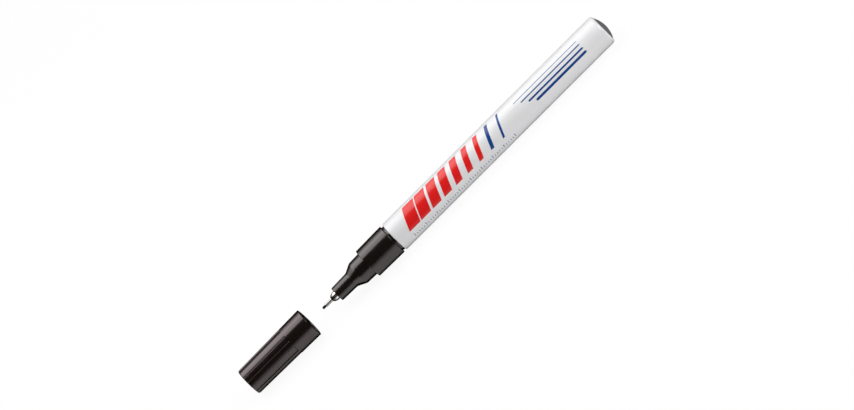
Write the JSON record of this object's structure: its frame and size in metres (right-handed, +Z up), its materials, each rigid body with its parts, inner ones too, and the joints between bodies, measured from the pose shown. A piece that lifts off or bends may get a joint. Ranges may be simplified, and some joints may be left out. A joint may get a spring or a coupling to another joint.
{
  "type": "permanent marker",
  "caption": "Slim valve-action permanent marker with a sprung needle tip, a lacquered metal barrel and a recessed push-on cap, shown with the cap off.",
  "frame": {"origin": "middle of the marker and its cap laid in line, on the surface that they lie on", "axes": "+X along the marker's axis, from the tip to the barrel's closed end; +Z up from the surface"},
  "size_m": [0.1614, 0.0112, 0.0112],
  "materials": {
    "white_lacquer": "glossy white lacquer on aluminium, bare metal at the domed end",
    "black_plastic": "semi-gloss moulded",
    "liner_plastic": "soft moulded",
    "white_plastic": "moulded",
    "grey_plastic": "moulded",
    "bright_metal": "polished plating",
    "tube_steel": "drawn tube, bright",
    "spring_steel": "bright",
    "black_rubber": "matt",
    "nib_fibre": "ink-soaked bonded fibre",
    "wick_felt": "ink-soaked felt"
  },
  "bodies": {
    "marker_body": {"barrel": "white_lacquer", "front_section": "black_plastic", "barrel_seal": "black_rubber", "valve_seat": "white_plastic", "valve_cage": "white_plastic", "valve_spring": "spring_steel", "ink_wick": "wick_felt"},
    "tip": {"nib_holder": "white_plastic", "tip_ferrule": "bright_metal", "needle_tube": "tube_steel", "nib_core": "nib_fibre"},
    "valve": {"valve_stem": "grey_plastic"},
    "ball": {"mixing_ball": "spring_steel"},
    "cap": {"cap_shell": "black_plastic", "inner_cap": "liner_plastic"}
  },
  "joints": [
    {"name": "cap_slide", "type": "slide", "parent": "marker_body", "child": "cap", "axis": [1, 0, 0], "range_m": [0, 0.02635]},
    {"name": "tip_plunge", "type": "slide", "parent": "marker_body", "child": "tip", "axis": [1, 0, 0], "range_m": [0, 0.0015], "stiffness_N_per_m": 600, "springref_m": -0.001, "deforming": ["valve_spring"]},
    {"name": "valve_lift", "type": "slide", "parent": "marker_body", "child": "valve", "axis": [1, 0, 0], "range_m": [0, 0.0015]},
    {"name": "ball_run", "type": "slide", "parent": "marker_body", "child": "ball", "axis": [1, 0, 0], "range_m": [-0.0295, 0.0455]}
  ],
  "couplings": [
    {"joint": "valve_lift", "follows": "tip_plunge", "ratio": 1}
  ]
}
